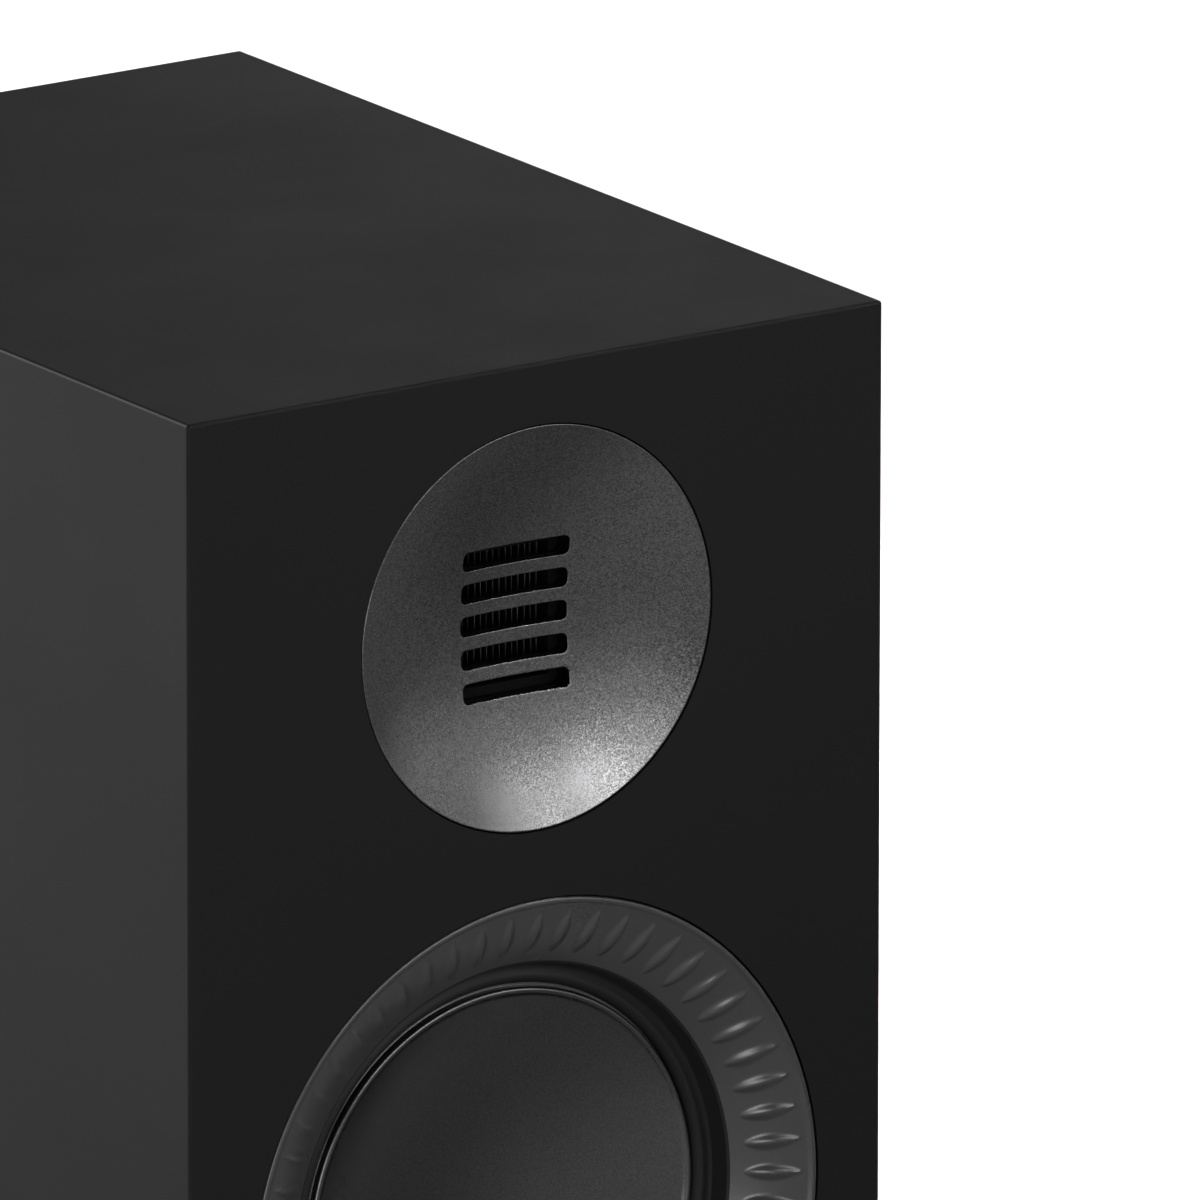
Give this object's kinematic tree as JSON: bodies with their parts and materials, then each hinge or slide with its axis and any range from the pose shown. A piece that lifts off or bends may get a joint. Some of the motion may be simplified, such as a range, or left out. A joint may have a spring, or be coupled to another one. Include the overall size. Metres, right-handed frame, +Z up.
{
  "type": "bookshelf speaker",
  "caption": "Passive two-way bookshelf speaker: black box cabinet, slotted dished tweeter plate, ribbed rubber woofer surround with a smooth dish, rear bass port and binding posts.",
  "frame": {"origin": "on the floor under the middle of the box that holds the whole speaker, binding-post caps included", "axes": "+Z up, front baffle facing -Y, +X to the right seen from the front"},
  "size_m": [0.18, 0.264, 0.293],
  "materials": {
    "black_paint": "matt black paint over fibreboard",
    "bare_fibreboard": "bare fibreboard",
    "acoustic_foam": "open-cell foam",
    "foot_rubber": "matt soft rubber",
    "dark_aluminium": "satin dark-grey anodised, fine sparkle",
    "driver_plastic": "moulded, fine grain",
    "seal_foam": "closed-cell foam",
    "black_steel": "black zinc on steel",
    "folded_film": "thin metallised film",
    "bar_magnets": "nickel plate",
    "ferrite": "dark sintered ferrite",
    "surround_rubber": "matt black rubber",
    "dish_metal": "satin black hard-anodised",
    "basket_casting": "fine-textured powder coat on a casting",
    "spider_cloth": "resin-stiffened cotton",
    "coil_former": "amber film",
    "coil_copper": "enamelled copper wire",
    "solder_tab_brass": "tinned brass",
    "circuit_board": "green solder mask",
    "board_screw_steel": "bright zinc",
    "capacitor_case": "wrapped film",
    "cement": "white cement",
    "wire_sleeve": "soft insulation",
    "port_plastic": "moulded, fine grain",
    "cup_plastic": "moulded, fine grain",
    "post_brass": "gold-tone plate",
    "cap_black": "moulded, semi-gloss",
    "cap_red": "moulded, semi-gloss"
  },
  "bodies": {
    "cabinet": {"back_panel": "black_paint", "black_post": "post_brass", "black_post_base": "cup_plastic", "bottom_panel": "black_paint", "crossover_board": "circuit_board", "crossover_capacitors": "capacitor_case", "crossover_resistors": "cement", "crossover_screws": "board_screw_steel", "crossover_standoffs": "solder_tab_brass", "front_baffle": "black_paint", "input_wires": "wire_sleeve", "left_damping_foam": "acoustic_foam", "left_panel": "black_paint", "port_tube": "port_plastic", "post_nuts": "board_screw_steel", "red_post": "post_brass", "red_post_base": "cup_plastic", "right_damping_foam": "acoustic_foam", "right_panel": "black_paint", "rubber_feet": "foot_rubber", "terminal_cup": "cup_plastic", "terminal_cup_screws": "black_steel", "top_panel": "black_paint", "tweeter_chassis": "driver_plastic", "tweeter_faceplate": "dark_aluminium", "tweeter_film_frame": "driver_plastic", "tweeter_folded_film": "folded_film", "tweeter_front_pole": "black_steel", "tweeter_gasket": "seal_foam", "tweeter_inductor": "coil_copper", "tweeter_magnets": "bar_magnets", "tweeter_rear_chamber": "driver_plastic", "tweeter_rear_pole": "black_steel", "tweeter_screws": "black_steel", "tweeter_solder_tabs": "solder_tab_brass", "tweeter_wires": "wire_sleeve", "window_brace": "bare_fibreboard", "woofer_basket": "basket_casting", "woofer_gasket": "seal_foam", "woofer_inductor": "coil_copper", "woofer_magnet": "ferrite", "woofer_screws": "black_steel", "woofer_solder_tabs": "solder_tab_brass", "woofer_spider": "spider_cloth", "woofer_surround": "surround_rubber", "woofer_terminal_board": "circuit_board", "woofer_tinsel_leads": "solder_tab_brass", "woofer_top_plate": "black_steel", "woofer_wires": "wire_sleeve", "woofer_yoke": "black_steel"},
    "moving_dish": {"woofer_dish": "dish_metal", "voice_coil_former": "coil_former", "voice_coil": "coil_copper"},
    "red_washer": {"red_clamp_washer": "post_brass"},
    "red_cap": {"red_post_cap": "cap_red"},
    "black_washer": {"black_clamp_washer": "post_brass"},
    "black_cap": {"black_post_cap": "cap_black"}
  },
  "joints": [
    {"name": "dish_travel", "type": "slide", "parent": "cabinet", "child": "moving_dish", "axis": [0, -1, 0], "range_m": [-0.004, 0.004], "stiffness_N_per_m": 1000, "deforming": ["woofer_surround", "woofer_spider", "woofer_tinsel_leads"]},
    {"name": "red_cap_lift", "type": "slide", "parent": "cabinet", "child": "red_washer", "axis": [0, 1, 0], "range_m": [0, 0.005]},
    {"name": "red_cap_turn", "type": "hinge", "parent": "red_washer", "child": "red_cap", "pos_m": [0.00953, 0.122, 0.082], "axis": [0, 1, 0], "range_deg": [0, 2250]},
    {"name": "black_cap_lift", "type": "slide", "parent": "cabinet", "child": "black_washer", "axis": [0, 1, 0], "range_m": [0, 0.005]},
    {"name": "black_cap_turn", "type": "hinge", "parent": "black_washer", "child": "black_cap", "pos_m": [-0.00953, 0.122, 0.082], "axis": [0, 1, 0], "range_deg": [0, 2250]}
  ],
  "couplings": [
    {"joint": "red_cap_turn", "follows": "red_cap_lift", "rad_per_m": 7854},
    {"joint": "black_cap_turn", "follows": "black_cap_lift", "rad_per_m": 7854}
  ]
}
